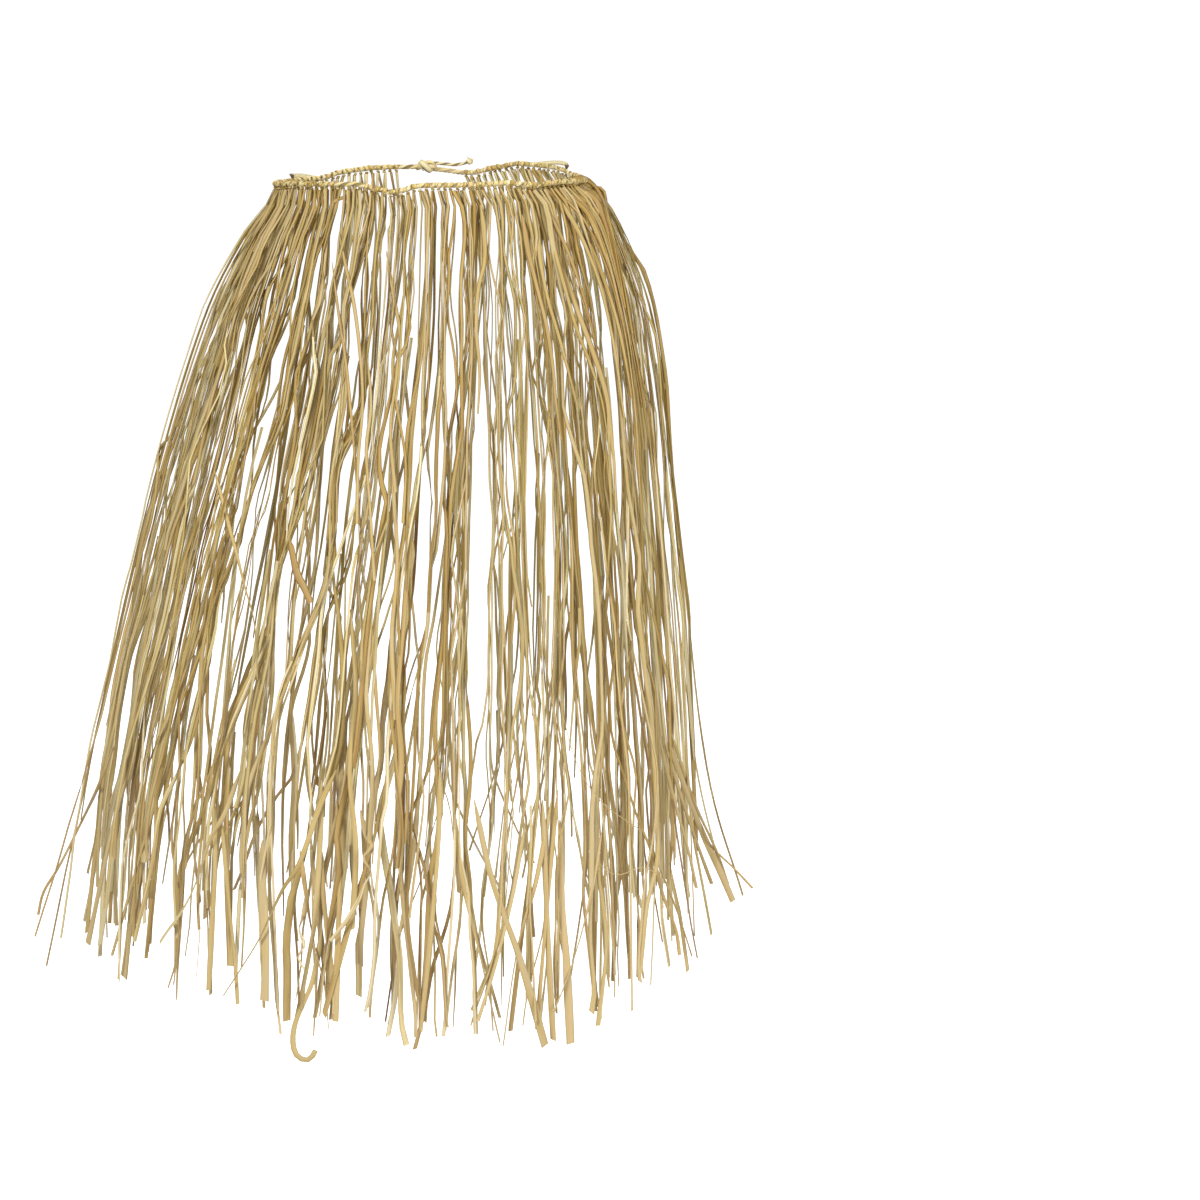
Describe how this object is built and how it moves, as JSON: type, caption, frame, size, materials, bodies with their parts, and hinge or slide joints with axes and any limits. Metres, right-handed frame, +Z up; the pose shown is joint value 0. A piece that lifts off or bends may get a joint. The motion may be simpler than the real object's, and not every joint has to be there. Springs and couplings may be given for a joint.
{
  "type": "raffia grass skirt",
  "caption": "Grass skirt: long flat raffia strands hitched side by side along a twisted raffia waist cord, tied with a knot at the back, flared as worn over an uneven hem",
  "frame": {"origin": "the middle of the waist opening, level with the waist cord, where a wearer's waist holds the skirt", "axes": "+Z up out of the waist opening, -Y the wearer's front, +Y the wearer's back with the tie knot, +X the right side of the skirt seen from the front"},
  "size_m": [0.6788, 0.5092, 0.7918],
  "materials": {
    "raffia_strand": "satin",
    "raffia_cord": "satin"
  },
  "bodies": {
    "root": {"fringe_front": "raffia_strand", "fringe_back_left": "raffia_strand", "fringe_back_right": "raffia_strand", "waist_cord": "raffia_cord", "tie_knot": "raffia_cord", "tie_tail": "raffia_cord", "tail_knot": "raffia_cord", "cord_end_left": "raffia_cord", "cord_end_right": "raffia_cord"}
  },
  "joints": []
}
